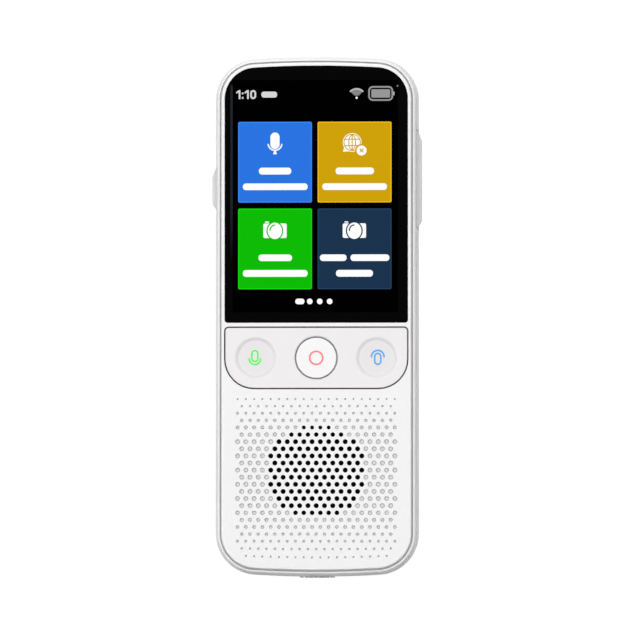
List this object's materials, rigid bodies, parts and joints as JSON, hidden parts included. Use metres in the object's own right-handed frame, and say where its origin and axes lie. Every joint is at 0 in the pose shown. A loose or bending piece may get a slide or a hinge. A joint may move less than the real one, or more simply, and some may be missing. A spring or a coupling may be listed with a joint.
{
  "type": "handheld voice translator",
  "caption": "Slim white handheld voice translator with a touch screen over a key panel and a dotted speaker grille, with side keys and a rear camera.",
  "frame": {"origin": "middle of the flat back, with the device lying on its back", "axes": "+X to the right seen from the front, +Y from the charging port to the top, +Z out of the screen"},
  "size_m": [0.0526, 0.1307, 0.013],
  "materials": {
    "white_case": "satin white",
    "front_white": "smooth white",
    "trim_white": "satin pearl white",
    "key_white": "satin white",
    "side_key": "satin silver paint",
    "frame_alloy": "cast, matte",
    "cover_glass": "black back-printed glass",
    "black_tape": "matte",
    "lcd": "dark display panel",
    "backlight": "white diffuser",
    "flex": "polyimide",
    "green_symbol": "backlit green",
    "blue_symbol": "backlit blue",
    "red_symbol": "backlit red",
    "black_plastic": "matte black",
    "switch_steel": "stamped steel",
    "board_green": "solder mask",
    "led_white": "phosphor",
    "mesh_black": "fine woven mesh",
    "basket": "black coated steel",
    "cone": "film diaphragm",
    "copper": "enamelled copper",
    "magnet": "nickel plated",
    "steel": "bright steel",
    "chip": "moulded package",
    "gold": "gold plated",
    "cell_foil": "laminated foil pouch",
    "lens": "coated lens",
    "window": "black-printed window",
    "flash_clear": "frosted clear"
  },
  "bodies": {
    "case": {"rear_cover": "white_case", "trim_ring": "trim_white", "front_shell": "front_white", "mid_frame": "frame_alloy", "touch_glass": "cover_glass", "glass_tape": "black_tape", "display_panel": "lcd", "backlight": "backlight", "display_flex": "flex", "rocker_switches": "switch_steel", "centre_switch": "switch_steel", "keypad_board": "board_green", "key_leds": "led_white", "keypad_flex": "flex", "power_switch": "switch_steel", "power_flex": "flex", "volume_switches": "switch_steel", "volume_flex": "flex", "dust_mesh": "mesh_black", "speaker_gasket": "black_tape", "speaker_basket": "basket", "speaker_magnet": "magnet", "pole_plate": "steel", "main_board": "board_green", "shield_can": "switch_steel", "processor": "chip", "memory_chip": "chip", "top_microphone": "black_plastic", "top_mic_boot": "black_tape", "sub_board": "board_green", "port_shell": "steel", "port_tongue": "black_plastic", "bottom_microphone": "black_plastic", "bottom_mic_boot": "black_tape", "sub_flex": "flex", "battery": "cell_foil", "battery_tape": "black_tape", "battery_lead": "flex", "antenna": "copper", "antenna_spring": "gold", "camera_body": "black_plastic", "camera_barrel": "black_plastic", "camera_lens": "lens", "camera_window": "window", "flash_lens": "flash_clear", "case_screws": "steel", "board_screws": "steel"},
    "key_plate": {"key_plate": "key_white", "left_symbol": "green_symbol", "right_symbol": "blue_symbol", "rocker_plungers": "black_plastic"},
    "centre_key": {"centre_key": "key_white", "centre_symbol": "red_symbol", "centre_plunger": "black_plastic"},
    "power_key": {"power_key": "side_key", "power_plunger": "black_plastic"},
    "volume_key": {"volume_key": "side_key", "volume_plungers": "black_plastic"},
    "speaker_cone": {"speaker_cone": "cone", "voice_coil": "copper"}
  },
  "joints": [
    {"name": "key_panel_rock", "type": "hinge", "parent": "case", "child": "key_plate", "pos_m": [0, -0.01046, 0.01074], "axis": [0, 1, 0], "range_deg": [-1.2, 1.2], "stiffness_Nm_per_rad": 2.2},
    {"name": "centre_key_press", "type": "slide", "parent": "case", "child": "centre_key", "axis": [0, 0, -1], "range_m": [0, 0.00035], "stiffness_N_per_m": 4000},
    {"name": "power_key_press", "type": "slide", "parent": "case", "child": "power_key", "axis": [1, 0, 0], "range_m": [0, 0.0003], "stiffness_N_per_m": 4000},
    {"name": "volume_key_rock", "type": "hinge", "parent": "case", "child": "volume_key", "pos_m": [0.0233, 0.0345, 0.00725], "axis": [0, 0, 1], "range_deg": [-1.6, 1.6], "stiffness_Nm_per_rad": 1},
    {"name": "speaker_cone_stroke", "type": "slide", "parent": "case", "child": "speaker_cone", "axis": [0, 0, 1], "range_m": [-0.0003, 0.0003], "stiffness_N_per_m": 2000}
  ]
}
